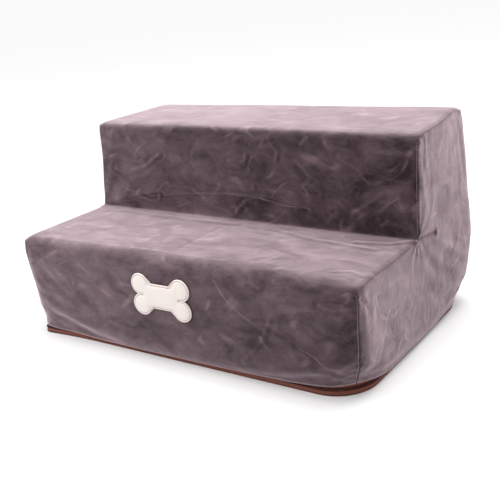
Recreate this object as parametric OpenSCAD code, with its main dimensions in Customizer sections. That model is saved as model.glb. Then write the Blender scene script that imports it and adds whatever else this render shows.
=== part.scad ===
// Two-step pet stair: a foam core in a zipped velvet cover with a non-slip base.
// +X is to the right, the front faces -Y, and the stair stands on z = 0.

/* [Steps] */
// Width of the stair, side to side
width = 600; // [450:10:800]
// Depth of the whole stair, front to back
depth = 400; // [340:10:560]
// Depth of the lower tread, from the front to the upper riser
tread_lower = 200; // [150:5:240]
// Height of the lower tread above the floor
rise_lower = 165; // [130:5:220]
// Height of the upper tread above the lower one
rise_upper = 150; // [100:5:220]

/* [Cover] */
// Thickness of the velvet with its backing
cover_t = 1.6; // [0.8:0.1:3]
// Thickness of the thread in the side seams
thread_d = 0.6; // [0.3:0.1:0.8]
// Rounding of the lower step's front edge
front_edge_r = 24; // [8:1:45]
// Rounding of the upper step's front edge
upper_edge_r = 16; // [6:1:40]
// Rounding of the upper step's back edge
back_edge_r = 22; // [6:1:40]
// Height of the cover's hem above the floor
hem_z = 18; // [17:0.5:24]
// Height at which the cover reaches its full width
full_z = 45; // [36:1:60]
// Plan radius of the cover's upright corners at that height
full_corner_r = 30; // [10:1:50]
// Plan radius of the upright corners at the treads
tread_corner_r = 8; // [4:1:15]
// Room between the foam and the cover around it
foam_gap = 0.3; // [0.1:0.1:1]

/* [Base] */
// Thickness of the non-slip base panel
base_t = 2; // [1:0.2:3]
// How far the base and its zip lie in from the overall size
base_inset = 8; // [6:0.5:16]
// Plan radius of the base's corners
base_corner_r = 60; // [40:1:90]
// Plan radius of its front left corner, which is tighter
tight_corner_r = 18; // [14:1:60]

/* [Zip] */
// Height of the zip's middle above the floor
zip_mid_z = 10.3; // [9:0.1:11]
// Thickness of the tape
tape_t = 0.8; // [0.4:0.1:1.2]
// Room between the two coils and between the two tapes
zip_gap = 1.2; // [1:0.1:1.6]
// Height of one coil
coil_w = 2.4; // [1.8:0.1:3]
// Thickness of the coils
coil_t = 1.8; // [1.2:0.1:2.2]
// How far the upper tape is lapped behind the hem
hem_lap = 4; // [2:0.5:5]
// Length of each stop at the zip's ends
stop_l = 3; // [2:0.5:5]

/* [Slider] */
// Length of the slider along the zip
slider_l = 13; // [10:0.5:16]
// Thickness of the slider's plates and flanges
slider_t = 1.2; // [0.8:0.1:1.6]
// Room between the slider and what it slides on
slide_gap = 0.3; // [0.2:0.05:0.4]
// Height of the opening under the slider's bridge
bridge_gap = 2.4; // [2:0.1:3]
// Width of the slider's bridge
bridge_w = 2.6; // [2:0.1:3.4]
// Diameter of the pull tab's crossbar
crossbar_d = 1.6; // [1.2:0.1:1.8]
// Length of the pull tab beyond its crossbar
tab_l = 30; // [20:1:45]
// Thickness of the pull tab
tab_t = 1.2; // [0.8:0.1:1.4]
// Diameter of the hole in the pull tab's end
tab_hole_d = 2.6; // [1.5:0.1:3]

/* [Bone patch] */
// Length of the bone patch
bone_l = 112; // [70:1:140]
// Radius of the bone's four knuckles
knuckle_r = 18.5; // [12:0.5:26]
// Distance between the two knuckles at one end
knuckle_pitch = 32; // [20:0.5:34]
// Height of the bone's shaft
shaft_h = 42; // [24:1:48]
// Place of the bone's middle, from the stair's middle
bone_x = -19; // [-150:1:150]
// How far below the lower step's rounded edge the bone begins
bone_drop = 0; // [0:0.5:20]
// Thickness of the felt behind the bone
felt_t = 0.8; // [0.5:0.1:1.5]
// Thickness of the wadding inside the bone
wadding_t = 2; // [1:0.2:4]
// Thickness of the bone's imitation leather
leather_t = 1.2; // [0.8:0.1:2]
// How far the wadding and the stitching lie in from the bone's edge
bone_margin = 5; // [4:0.5:8]

/* [Hidden] */

$fn = 64;
hull_fn = 32;
over = 1; // how far a cutting shape runs past what it cuts

height = rise_lower + rise_upper;
riser_y = tread_lower - depth / 2;

velvet = "#7d6c74";
brown = "#5a2f28";
foam_colour = "#e9dfb8";
metal = "#6e6154";

// ---- outlines ----

// Rectangle with round corners, centred, in plan
module round_rect(half_x, half_y, r) {
    square([2 * half_x, 2 * (half_y - r)], center = true);
    square([2 * (half_x - r), 2 * half_y], center = true);
    for (sx = [-1, 1], sy = [-1, 1])
        translate([sx * (half_x - r), sy * (half_y - r)]) circle(r);
}

// The base's outline, taken in by inset from the overall size
module base_outline(inset) {
    half_x = width / 2 - inset;
    half_y = depth / 2 - inset;
    r = tight_corner_r + base_inset - inset;
    round_rect(half_x, half_y, base_corner_r + base_inset - inset);
    translate([-half_x, r - half_y]) square([half_x, half_y - r]);
    translate([r - half_x, -half_y]) square([half_x - r, half_y]);
    translate([r - half_x, r - half_y]) circle(r);
}

// What a round edge of radius r takes off the corner of a square block at the origin
module edge_waste(r) {
    difference() {
        translate([-over, 0]) square([r + over, r + over]);
        translate([r, 0]) circle(r);
    }
}

// Side view of one block, from y0 to y1 and z0 to z1, with its two top edges rounded
module block_profile(y0, y1, z0, z1, r_front, r_back) {
    difference() {
        translate([y0, z0]) square([y1 - y0, z1 - z0]);
        translate([y0, z1 - r_front]) edge_waste(r_front);
        if (r_back > 0) translate([y1, z1 - r_back]) mirror([1, 0]) edge_waste(r_back);
    }
}

// Side view of both steps, taken in by inset, from z0 up
module stair_profile(inset, z0) {
    block_profile(-depth / 2 + inset, depth / 2 - inset, z0, rise_lower - inset,
                  front_edge_r - inset, 0);
    block_profile(riser_y + inset, depth / 2 - inset, z0, height - inset,
                  upper_edge_r - inset, back_edge_r - inset);
}

// ---- forms that the cover and the foam share ----

// Upright walls that draw in from full_z down to the foot, and stand straight below tape_top_z
module walls(inset, foot_inset, z0) {
    slab = 0.01;
    hull() {
        translate([0, 0, tape_top_z]) linear_extrude(slab) base_outline(foot_inset, $fn = hull_fn);
        translate([0, 0, full_z]) linear_extrude(slab)
            round_rect(width / 2 - inset, depth / 2 - inset, full_corner_r - inset, $fn = hull_fn);
        translate([0, 0, rise_lower]) linear_extrude(rise_upper)
            round_rect(width / 2 - inset, depth / 2 - inset, tread_corner_r - inset, $fn = hull_fn);
    }
    translate([0, 0, z0]) linear_extrude(tape_top_z - z0 + slab)
        base_outline(foot_inset, $fn = hull_fn);
}

// Runs a side view across the stair and trims it to the walls
module across(inset, foot_inset, z0) {
    intersection() {
        rotate([90, 0, 90]) linear_extrude(width - 2 * inset, center = true) children();
        walls(inset, foot_inset, z0);
    }
}

tape_top_z = hem_z + hem_lap;
hem_inset = base_inset - cover_t;

module cover_outside() across(0, hem_inset, hem_z) stair_profile(0, hem_z);
module cover_inside() across(cover_t, base_inset, 0) stair_profile(cover_t, 0);
module thread_bed() across(thread_d, hem_inset + thread_d, 0) stair_profile(thread_d, 0);

// Up to these heights the seam runs down a corner, and above them along the side's edge
front_corner_z = rise_lower - front_edge_r;
back_corner_z = height - back_edge_r;
corner_reach = base_corner_r + 2 * base_inset;
side_x = width / 2 - cover_t;

// Plan of what lies on the side's half of one corner: side is +1 right, end is -1 front
module corner_half(side, end) {
    corner = [side * (width / 2 + over), end * (depth / 2 + over)];
    inner = [side * (width / 2 - corner_reach), end * (depth / 2 - corner_reach)];
    polygon([corner, inner, [corner.x, inner.y]]);
}

// Where the side panel lies
module side_zone(side) {
    translate([side * (side_x + width / 2), 0, height / 2])
        cube([width, depth + 2 * over, height + 2 * over], center = true);
    linear_extrude(front_corner_z) {
        corner_half(side, -1);
        corner_half(side, 1);
        translate([side * width / 2, 0])
            square([2 * corner_reach, depth - 2 * corner_reach], center = true);
    }
    linear_extrude(back_corner_z) corner_half(side, 1);
}

// The seam down one corner, up to height z, and its short step over to the side's edge
module corner_seam_zone(side, end, z) {
    run = 2 * corner_reach;
    translate([side * width / 2, end * depth / 2, 0]) rotate([0, 0, side * end * 45])
        translate([-run / 2, -thread_d / 2, 0]) cube([run, thread_d, z]);
    translate([0, 0, z - thread_d]) linear_extrude(thread_d) intersection() {
        corner_half(side, end);
        square([2 * side_x, depth + 2 * over], center = true);
    }
}

// Where the side seam's thread lies
module seam_zone(side) {
    edge_z = front_corner_z - thread_d;
    difference() {
        translate([side * (side_x - thread_d / 2), 0, edge_z + height / 2])
            cube([thread_d, depth + 2 * over, height], center = true);
        translate([-width, depth / 2 - full_corner_r, 0])
            cube([2 * width, full_corner_r + 2 * over, back_corner_z - thread_d]);
    }
    corner_seam_zone(side, -1, front_corner_z);
    corner_seam_zone(side, 1, back_corner_z);
}

// The seam's groove, as deep as the thread is thick
module seam_groove(side) {
    difference() {
        seam_zone(side);
        thread_bed();
    }
}

module seam_thread(side) {
    color("#3a3036") intersection() {
        cover_outside();
        seam_groove(side);
    }
}

module seam_thread_left() seam_thread(-1);
module seam_thread_right() seam_thread(1);

// ---- foam ----

foam_inset = cover_t + foam_gap;
foam_foot_inset = base_inset + tape_t + slide_gap + slider_t + foam_gap;
foam_split_z = rise_lower - foam_inset;

module lower_foam_block() {
    color(foam_colour) across(foam_inset, foam_foot_inset, base_t)
        block_profile(-depth / 2 + foam_inset, depth / 2 - foam_inset, base_t, foam_split_z,
                      front_edge_r - foam_inset, 0);
}

module upper_foam_block() {
    color(foam_colour) across(foam_inset, foam_foot_inset, base_t)
        block_profile(riser_y + foam_inset, depth / 2 - foam_inset, foam_split_z,
                      height - foam_inset, upper_edge_r - foam_inset, back_edge_r - foam_inset);
}

// ---- cover ----

// One length of velvet: front riser, lower tread, upper riser, top and back
module cover_strip() {
    color(velvet) difference() {
        cover_outside();
        cover_inside();
        for (side = [-1, 1]) {
            side_zone(side);
            seam_groove(side);
        }
    }
}

module cover_side(side) {
    color(velvet) difference() {
        intersection() {
            cover_outside();
            side_zone(side);
        }
        cover_inside();
        seam_groove(side);
    }
}

module cover_side_left() cover_side(-1);
module cover_side_right() cover_side(1);

// ---- base ----

module base_panel() {
    color(brown) linear_extrude(base_t) base_outline(base_inset);
}

// ---- zip: it runs along both sides and the front, and the rear band closes the back ----

zip_end_y = depth / 2 - base_inset - base_corner_r - 2;
stop_y = zip_end_y - 2 * stop_l;
half_gap = zip_gap / 2;

// A band around the base's outline from inset_out to inset_in and from z0 to z1
module band(inset_out, inset_in, z0, z1) {
    translate([0, 0, z0]) linear_extrude(z1 - z0) difference() {
        base_outline(inset_out);
        base_outline(inset_in);
    }
}

// Keeps what lies in front of y
module in_front_of(y) {
    intersection() {
        children();
        translate([-width, y - 2 * depth, 0]) cube([2 * width, 2 * depth, height]);
    }
}

// Keeps what lies behind y
module behind(y) {
    intersection() {
        children();
        translate([-width, y, 0]) cube([2 * width, 2 * depth, height]);
    }
}

module tape(z0, z1) color(brown) in_front_of(zip_end_y)
    band(base_inset, base_inset + tape_t, z0, z1);
module coil(z0) color("#3c1d18") in_front_of(stop_y)
    band(base_inset - coil_t, base_inset, z0, z0 + coil_w);

module zip_tape_lower() tape(base_t, zip_mid_z - half_gap);
module zip_tape_upper() tape(zip_mid_z + half_gap, tape_top_z);
module zip_coil_lower() coil(zip_mid_z - half_gap - coil_w);
module zip_coil_upper() coil(zip_mid_z + half_gap);

module rear_band() color(brown) behind(zip_end_y)
    band(base_inset, base_inset + tape_t, base_t, tape_top_z);

// One block of the stop's length on the outside of a tape, from z0 to z1
module stop_block(side, z0, z1) {
    outer_face = width / 2 - base_inset;
    translate([side * (outer_face + coil_t / 2), stop_y + stop_l / 2, (z0 + z1) / 2])
        cube([coil_t, stop_l, z1 - z0], center = true);
}

// Two separate stops, one on each tape, where the slider rests when the zip is shut
module zip_closed_stops() color(metal) {
    stop_block(-1, zip_mid_z - half_gap - coil_w, zip_mid_z - half_gap);
    stop_block(-1, zip_mid_z + half_gap, zip_mid_z + half_gap + coil_w);
}

// One stop across both tapes, where the zip begins
module zip_open_stop() color(metal)
    stop_block(1, zip_mid_z - half_gap - coil_w, zip_mid_z + half_gap + coil_w);

// ---- slider and pull tab, drawn with u outwards from the tape, v to the rear and w up ----

slider_y = stop_y - slider_l / 2 - slide_gap;
plate_u = coil_t + slide_gap;
flange_w = coil_w + half_gap + slide_gap;
slider_half_w = flange_w + slider_t;
bridge_u = plate_u + slider_t;
crossbar_u = bridge_u + bridge_gap / 2;
bridge_half_l = slider_l * 0.38;

module on_left_tape() {
    translate([-(width / 2 - base_inset), slider_y, zip_mid_z]) mirror([1, 0, 0]) children();
}

// A block from [u0, v0, w0] to [u1, v1, w1]
module block(low, high) translate(low) cube(high - low);

// A plate of the slider with round ends, from u0 to u1
module slider_plate(u0, u1) {
    r = slider_half_w * 0.6;
    translate([u0, 0, 0]) rotate([90, 0, 90]) linear_extrude(u1 - u0)
        round_rect(slider_l / 2, slider_half_w, r);
}

module zip_slider() color(metal) on_left_tape() {
    slider_plate(plate_u, bridge_u);
    slider_plate(-tape_t - slide_gap - slider_t, -tape_t - slide_gap);
    flange_half_l = slider_l * 0.3;
    for (s = [-1, 1])
        mirror([0, 0, s < 0 ? 1 : 0])
            block([slide_gap, -flange_half_l, flange_w], [bridge_u, flange_half_l, slider_half_w]);
    // the web that parts the two coils and joins the plates
    web_t = half_gap - slide_gap;
    block([-tape_t - slide_gap - slider_t, slider_l * 0.18, -web_t], [bridge_u, slider_l * 0.44, web_t]);
    // the bridge that holds the pull tab
    difference() {
        block([bridge_u - over / 2, -bridge_half_l, -bridge_w / 2],
              [bridge_u + bridge_gap + slider_t, bridge_half_l, bridge_w / 2]);
        block([bridge_u, slider_t - bridge_half_l, -bridge_w],
              [bridge_u + bridge_gap, bridge_half_l - slider_t, bridge_w]);
    }
}

module zip_pull_tab() color(metal) on_left_tape() translate([crossbar_u, 0, 0]) {
    arm_w = 1.5;
    window_half_w = bridge_w / 2 + 0.5;
    window_l = norm([bridge_half_l, bridge_gap / 2 + slider_t]) + 0.7;
    half_w = window_half_w + arm_w;
    end_r = half_w + 0.5;
    translate([-tab_t / 2, 0, 0]) rotate([90, 0, 90]) linear_extrude(tab_t) difference() {
        union() {
            translate([-window_l - 3, -half_w]) square([window_l + 3, 2 * half_w]);
            translate([-tab_l + end_r, -half_w * 0.7]) square([tab_l - end_r, 1.4 * half_w]);
            translate([end_r - tab_l, 0]) circle(end_r);
        }
        translate([-window_l, -window_half_w]) square([window_l + over, 2 * window_half_w]);
        translate([end_r - tab_l, 0]) circle(d = tab_hole_d);
    }
    cylinder(h = 2 * half_w, d = crossbar_d, center = true);
}

// ---- bone patch, drawn flat and stood up on the front riser ----

module bone_outline(inset) {
    knuckle_x = bone_l / 2 - knuckle_r;
    for (sx = [-1, 1], sz = [-1, 1])
        translate([sx * knuckle_x, sz * knuckle_pitch / 2]) circle(knuckle_r - inset);
    square([2 * knuckle_x, shaft_h - 2 * inset], center = true);
}

bone_z = front_corner_z - bone_drop - knuckle_pitch / 2 - knuckle_r;

// A layer of the patch from d0 to d1 in front of the riser
module bone_layer(d0, d1) {
    translate([bone_x, -depth / 2 - d0, bone_z]) rotate([90, 0, 0])
        linear_extrude(d1 - d0) children();
}

bone_front = felt_t + wadding_t + leather_t;

module bone_felt() color("#6b3428") bone_layer(0, felt_t) bone_outline(0);
module bone_wadding() color("white") bone_layer(felt_t, felt_t + wadding_t) bone_outline(bone_margin);
module bone_face() color("#f2ece6") {
    bone_layer(felt_t, felt_t + wadding_t) difference() {
        bone_outline(0);
        bone_outline(bone_margin);
    }
    bone_layer(felt_t + wadding_t, bone_front) bone_outline(0);
}
module bone_stitching() color("#b9aca6") bone_layer(bone_front, bone_front + thread_d) difference() {
    bone_outline(bone_margin / 2 - thread_d / 2);
    bone_outline(bone_margin / 2 + thread_d / 2);
}

lower_foam_block();
upper_foam_block();
cover_strip();
cover_side_left();
cover_side_right();
seam_thread_left();
seam_thread_right();
base_panel();
rear_band();
zip_tape_lower();
zip_tape_upper();
zip_coil_lower();
zip_coil_upper();
zip_closed_stops();
zip_open_stop();
zip_slider();
zip_pull_tab();
bone_felt();
bone_wadding();
bone_face();
bone_stitching();
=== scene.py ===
import bpy
import numpy as np
from mathutils import Matrix, Vector


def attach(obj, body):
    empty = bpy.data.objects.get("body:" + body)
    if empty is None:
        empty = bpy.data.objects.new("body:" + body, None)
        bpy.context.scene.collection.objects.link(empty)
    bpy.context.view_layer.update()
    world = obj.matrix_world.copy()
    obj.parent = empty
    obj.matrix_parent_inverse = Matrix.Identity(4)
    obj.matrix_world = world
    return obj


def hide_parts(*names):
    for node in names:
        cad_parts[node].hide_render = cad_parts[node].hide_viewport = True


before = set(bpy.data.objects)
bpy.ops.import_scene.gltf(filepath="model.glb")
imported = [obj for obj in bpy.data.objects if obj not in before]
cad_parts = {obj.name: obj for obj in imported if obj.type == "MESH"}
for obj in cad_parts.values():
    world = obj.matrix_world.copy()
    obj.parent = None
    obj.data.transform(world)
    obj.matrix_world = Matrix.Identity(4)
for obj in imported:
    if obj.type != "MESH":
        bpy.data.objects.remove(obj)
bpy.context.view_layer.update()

# ---- camera, light and floor ----
# The stair stands on a plain pale floor under soft studio light. The camera looks down a little
# from the right of the front, tipped to the side as it was held by hand.
azimuth, elevation, roll = np.radians([35.75, 19.25, -5.6])
aim, distance = np.array([0.0042, 0.0, 0.114]), 1.34
sensor_mm, lens_mm = 36.0, 59.0
back = np.array(
    [
        np.sin(azimuth) * np.cos(elevation),
        -np.cos(azimuth) * np.cos(elevation),
        np.sin(elevation),
    ]
)
right = np.array([np.cos(azimuth), np.sin(azimuth), 0.0])
up = np.cross(back, right)
across = right * np.cos(roll) + up * np.sin(roll)
tipped_up = up * np.cos(roll) - right * np.sin(roll)
camera_data = bpy.data.cameras.new("camera")
camera_data.sensor_width, camera_data.lens = sensor_mm, lens_mm
camera = bpy.data.objects.new("camera", camera_data)
camera.matrix_world = Matrix.Translation(Vector(aim + back * distance)) @ Matrix(
    np.column_stack([across, tipped_up, back]).tolist()
).to_4x4()
bpy.context.collection.objects.link(camera)
bpy.context.scene.camera = camera


def hex_colour(text):
    """An sRGB hex value as linear red, green, blue and alpha."""
    c = np.array([int(text[i : i + 2], 16) / 255 for i in (1, 3, 5)])
    return [*np.where(c <= 0.04045, c / 12.92, ((c + 0.055) / 1.055) ** 2.4), 1.0]


def new_material(name):
    """An empty node material, its shader node and its node tree."""
    material = bpy.data.materials.new(name)
    material.use_nodes = True
    return material, material.node_tree.nodes["Principled BSDF"], material.node_tree


def add_node(tree, kind, settings=None, **links):
    """Adds a node. settings are its own values; a link is a value for the socket of that name, or an
    output socket to join to it, with _ for a space and a number for a socket's place."""
    node = tree.nodes.new(kind)
    for key, value in (settings or {}).items():
        setattr(node, key, value)
    for key, value in links.items():
        socket = node.inputs[
            int(key[1:]) if key[0] == "n" and key[1:].isdigit() else key.replace("_", " ")
        ]
        if isinstance(value, bpy.types.NodeSocket):
            tree.links.new(value, socket)
        else:
            socket.default_value = value
    return node


def studio_light(name, place, size, power):
    """A round soft light at place, turned to the middle of the stair."""
    data = bpy.data.lights.new(name, "AREA")
    data.shape, data.size, data.energy = "DISK", size, power
    lamp = bpy.data.objects.new(name, data)
    lamp.location = place
    way = Vector((0.0, 0.0, 0.12)) - Vector(place)
    lamp.rotation_euler = way.to_track_quat("-Z", "Y").to_euler()
    bpy.context.collection.objects.link(lamp)


studio_light("key_light", (0.3, 0.4, 2.1), 1.6, 26)
studio_light("left_light", (-1.5, -1.0, 0.8), 1.2, 13)
bpy.context.scene.view_settings.view_transform = "Standard"

# the room is brightest overhead, as under a large softbox, and its walls are plain white
world = bpy.data.worlds.new("studio")
world.use_nodes = True
sky = add_node(world.node_tree, "ShaderNodeTexCoord").outputs["Generated"]
sky = add_node(world.node_tree, "ShaderNodeSeparateXYZ", Vector=sky)
sky = add_node(
    world.node_tree, "ShaderNodeMapRange", n0=sky.outputs[2], n1=0.0, n2=1.0, n3=0.12, n4=1.5
)
seen = add_node(world.node_tree, "ShaderNodeLightPath").outputs["Is Camera Ray"]
sky = add_node(
    world.node_tree, "ShaderNodeMath", {"operation": "MAXIMUM"}, n0=sky.outputs[0], n1=seen
)
world.node_tree.links.new(
    sky.outputs[0], world.node_tree.nodes["Background"].inputs["Strength"]
)
world.node_tree.nodes["Background"].inputs["Color"].default_value = (1, 1, 1, 1)
bpy.context.scene.world = world

# a white paper sweep, which throws back less light than it shows
floor_mesh = bpy.data.meshes.new("floor")
floor_mesh.from_pydata(
    [(-30, -30, 0), (30, -30, 0), (30, 30, 0), (-30, 30, 0)], [], [(0, 1, 2, 3)]
)
floor = bpy.data.objects.new("floor", floor_mesh)
bpy.context.collection.objects.link(floor)
material, shader, tree = new_material("white_studio_floor")
seen = add_node(tree, "ShaderNodeLightPath").outputs["Is Camera Ray"]
white = add_node(
    tree, "ShaderNodeMix", {"data_type": "RGBA"},
    n0=seen, n6=(0.62, 0.62, 0.62, 1), n7=(0.94, 0.94, 0.94, 1),
)
tree.links.new(white.outputs[2], shader.inputs["Base Color"])
shader.inputs["Roughness"].default_value = 0.9
floor_mesh.materials.append(material)

# ---- foam core ----
# Two blocks of soft polyurethane foam glued one on the other, cut by hot wire, so their edges are
# a little round and the lower part swells out over the base.
width, depth, height = 0.6, 0.4, 0.315
rise, hem_z = 0.165, 0.018
front_y, back_y, riser_y = -depth / 2, depth / 2, 0.0


def even_steps(a, b, step=0.0056):
    """Even steps of about that size from a to b; the size given is the velvet's grid."""
    return np.linspace(a, b, round(abs(b - a) / step) + 1)


def grid_quads(points):
    """The quads of a grid of points, as four corner points each."""
    return np.stack(
        [points[:-1, :-1], points[:-1, 1:], points[1:, 1:], points[1:, :-1]], axis=2
    ).reshape(-1, 4, 3)


def joined(quads):
    """Quads given by their corner points, as shared points and the numbers of each quad's corners."""
    p, f = np.unique(np.round(quads.reshape(-1, 3), 6), axis=0, return_inverse=True)
    return p, f.reshape(-1, 4)


def round_corner(a, b, centre_a, centre_b, sign_a, sign_b, r):
    """Presses the corner square of side r at (centre_a, centre_b) into a quarter disc: a point keeps
    its direction from the centre, and its larger offset becomes its distance."""
    da, db = (a - centre_a) * sign_a, (b - centre_b) * sign_b
    inside = (da > 0) & (db > 0)
    long = np.maximum(np.hypot(da, db), 1e-9)
    pull = np.where(inside, np.maximum(da, db) / long, 1.0)
    return centre_a + (a - centre_a) * pull, centre_b + (b - centre_b) * pull


# The foam gives: how far its corners stand from a true stair's, in mm, as place and shift. A row
# with no shift holds its corner where it is.
lean_table = np.array(
    [
        [-300, -200, 165, -12, 0, 3],
        [-300, -200, 55, -5, 0, 0],
        [-300, -100, 165, -12, 0, 2],
        [300, -200, 165, 4, -1, 4],
        [300, -200, 20, 0, 0, 0],
        [-300, 0, 165, -13, 0, 1],
        [300, 0, 165, 0, 0, 0],
        [-300, 0, 315, -1, 0, 1],
        [300, 0, 315, 0, 0, 0],
        [-300, 200, 315, 2, 0, 1],
        [0, 200, 315, 0, 0, 3],
        [300, 200, 315, -9, 0, 6],
        [300, 190, 95, 12, 0, 0],
        [300, 200, 20, 0, 0, 0],
        [-300, 200, 20, 0, 0, 0],
        [-300, 0, 20, 0, 0, 0],
        [300, 0, 20, 0, 0, 0],
        [0, -200, 165, 0, 0, 0],
        [0, 0, 315, 0, 0, 1],
    ]
)


def foot_lean(p):
    """The zip stands out under the hem at the base's tight corner: a narrow bell of the distance from
    that corner, which fades with height."""
    bell = ((p[:, 0] + 0.3) / 0.06) ** 2 + ((p[:, 1] + 0.2) / 0.028) ** 2
    bell = np.exp(-bell - (p[:, 2] / 0.017) ** 2)
    return p + bell[:, None] * [-0.012, -0.008, 0.0]


def leaned(p):
    """Each point with the shifts of the corners near it, weighted by a bell of its distance. Where
    bells overlap, the sum is divided by a smooth maximum of 1 and their total."""
    bell_mm = [150, 90, 65]
    d = np.linalg.norm((p[:, None] * 1000 - lean_table[:, :3]) / bell_mm, axis=2)
    w = np.exp(-(d**2))
    total = w.sum(axis=1, keepdims=True)
    return foot_lean(p + w @ lean_table[:, 3:] / (1 + total**6) ** (1 / 6) / 1000)


def soft_form(p):
    """The stair's soft shape at the sharp stair's points p: the profile's edges and the upright
    corners rounded, the walls drawn in at the base, and the treads crowned by a millimetre or two."""
    x, y, z = p.T.copy()
    crown = (1 - (x / 0.3) ** 2) * np.clip(z / 0.1, 0, 1)
    on_upper, on_lower = z > height - 1e-6, (np.abs(z - rise) < 1e-6) & (y < 0)
    z = z + 0.0025 * crown * np.where(on_upper, 1 - ((y - 0.1) / 0.1) ** 2, 0)
    z = z + 0.003 * crown * np.where(on_lower, 1 - ((y + 0.1) / 0.1) ** 2, 0)
    seam_r = np.interp(x, [-0.3, -0.25, 0.2, 0.27, 0.3], [0.019, 0.027, 0.027, 0.016, 0.008])
    edge_r = np.interp(x, [0.22, 0.3], [0.011, 0.024])
    for cy, cz, sy, r in (
        (front_y, rise, -1, seam_r),
        (riser_y, height, -1, edge_r),
        (back_y, height, 1, 0.022),
    ):
        use = (z > rise + 0.004) | ((cz == rise) & (y < riser_y))
        ny, nz = round_corner(y, z, cy - sy * r, cz - r, sy, 1, r)
        y, z = np.where(use, ny, y), np.where(use, nz, z)
    wide = np.interp(z, [0.0, 0.022, 0.05, 0.165], [0.068, 0.067, 0.036, 0.007])
    tight = np.interp(z, [0.0, 0.022, 0.05, 0.165], [0.026, 0.026, 0.024, 0.007])
    r = np.where((x < 0) & (y < riser_y), tight, wide)
    draw = np.interp(
        z,
        [0.0, 0.008, 0.018, 0.03, 0.05, 0.1],
        [0.0064, 0.0062, 0.0052, 0.0022, -0.0006, 0.0],
    )
    for sx in (-1, 1):
        for sy in (-1, 1):
            x, y = round_corner(x, y, sx * (width / 2 - r), sy * (depth / 2 - r), sx, sy, r)
    x, y = x * (1 - draw / (width / 2)), y * (1 - draw / (depth / 2))
    return leaned(np.column_stack([x, y, z]))


def edges_of(f):
    """Every edge once, as its two points."""
    pairs = np.concatenate([f[:, [i, (i + 1) % 4]] for i in range(4)])
    return np.unique(np.sort(pairs, axis=1), axis=0)


def relax(p, f, times, weight):
    """Moves each point towards the mean of its neighbours, by its weight, that many times."""
    e = edges_of(f)
    count = np.bincount(e.ravel(), minlength=len(p))[:, None]
    for _ in range(times):
        total = np.zeros_like(p)
        np.add.at(total, e[:, 0], p[e[:, 1]])
        np.add.at(total, e[:, 1], p[e[:, 0]])
        p = p + np.reshape(weight, (-1, 1)) * (total / count - p)
    return p


def point_normals(p, f):
    """Each point's outward direction: the mean of its faces' directions, by their areas."""
    face = np.cross(p[f[:, 2]] - p[f[:, 0]], p[f[:, 3]] - p[f[:, 1]])
    n = np.zeros_like(p)
    for i in range(4):
        np.add.at(n, f[:, i], face)
    return n / np.maximum(np.linalg.norm(n, axis=1, keepdims=True), 1e-12)


def new_piece(name, p, f):
    """A smooth mesh piece from points and faces, riding on the stairs."""
    mesh = bpy.data.meshes.new(name)
    mesh.from_pydata(p.tolist(), [], f if isinstance(f, list) else f.tolist())
    mesh.polygons.foreach_set("use_smooth", np.ones(len(f), bool))
    piece = bpy.data.objects.new(name, mesh)
    bpy.context.collection.objects.link(piece)
    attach(piece, "stairs")
    return piece


def box_quads(y, z):
    """The six sides of a block over the whole width, as quads that face outwards."""
    x = even_steps(-width / 2, width / 2, 0.01)
    sides = []
    for a, b, c, axis in ((x, z, y, 1), (x, y, z, 2), (y, z, x, 0)):
        aa, bb = np.meshgrid(a, b)
        for end, flip in ((c[0], 0), (c[-1], 1)):
            parts = {1: (aa, end, bb), 2: (aa, bb, end), 0: (end, aa, bb)}[axis]
            g = np.stack([np.broadcast_to(v, aa.shape) for v in parts], axis=2)
            q = grid_quads(g)
            sides.append(q[:, ::-1] if flip == (axis == 1) else q)
    return np.concatenate(sides)


foam_y = even_steps(front_y, back_y, 0.01)
foam_pieces = []
for name, y, z in (
    ("lower_foam", foam_y, even_steps(0.0022, rise, 0.01)),
    ("upper_foam", foam_y[foam_y > -1e-6], even_steps(rise, height, 0.01)),
):
    sharp, faces = joined(box_quads(y, z))
    form = soft_form(sharp)
    form = relax(form, faces, 3, np.where(sharp[:, 2] < 0.003, 0, 0.4))
    tuck = np.interp(sharp[:, 2], [0.0, 0.026, 0.045], [0.0125, 0.0125, 0.0062])
    outward = point_normals(form, faces)
    outward[sharp[:, 2] < 0.003, 2] = 0
    form = form - outward * tuck[:, None]
    if name == "upper_foam":
        form[np.abs(sharp[:, 2] - rise) < 1e-6, 2] = rise - 0.0062
    form[:, 2] = np.maximum(form[:, 2], 0.0022)
    piece = new_piece(name, form, faces)
    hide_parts(name + "_block")
    foam_pieces.append(piece)

# Open-cell polyurethane foam, cut by hot wire: cream, matt, with open pores of about 0.6 mm, drawn
# twice as coarse.
material, shader, tree = new_material("open_cell_foam")
where = add_node(tree, "ShaderNodeTexCoord").outputs["Object"]
pores = add_node(tree, "ShaderNodeTexVoronoi", Vector=where, Scale=1 / 0.0012)
shade = add_node(
    tree, "ShaderNodeMix", {"data_type": "RGBA"},
    n0=pores.outputs["Distance"], n6=hex_colour("#cdbf8a"), n7=hex_colour("#efe6c4"),
)
dents = add_node(tree, "ShaderNodeBump", Height=pores.outputs["Distance"], Distance=0.0004)
tree.links.new(shade.outputs[2], shader.inputs["Base Color"])
tree.links.new(dents.outputs["Normal"], shader.inputs["Normal"])
shader.inputs["Roughness"].default_value = 0.95
for piece in foam_pieces:
    piece.data.materials.append(material)

# ---- velvet cover ----
# A loose cover of crushed short-pile velvet: one long strip for the front, treads, riser and back,
# and an L-shaped panel on each side, sewn edge to edge. Its hem is sewn to the zip.
velvet_t = 0.0016
low_z, high_z = even_steps(hem_z, rise), even_steps(rise, height)
low_y, high_y = even_steps(front_y, riser_y), even_steps(riser_y, back_y)

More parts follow.
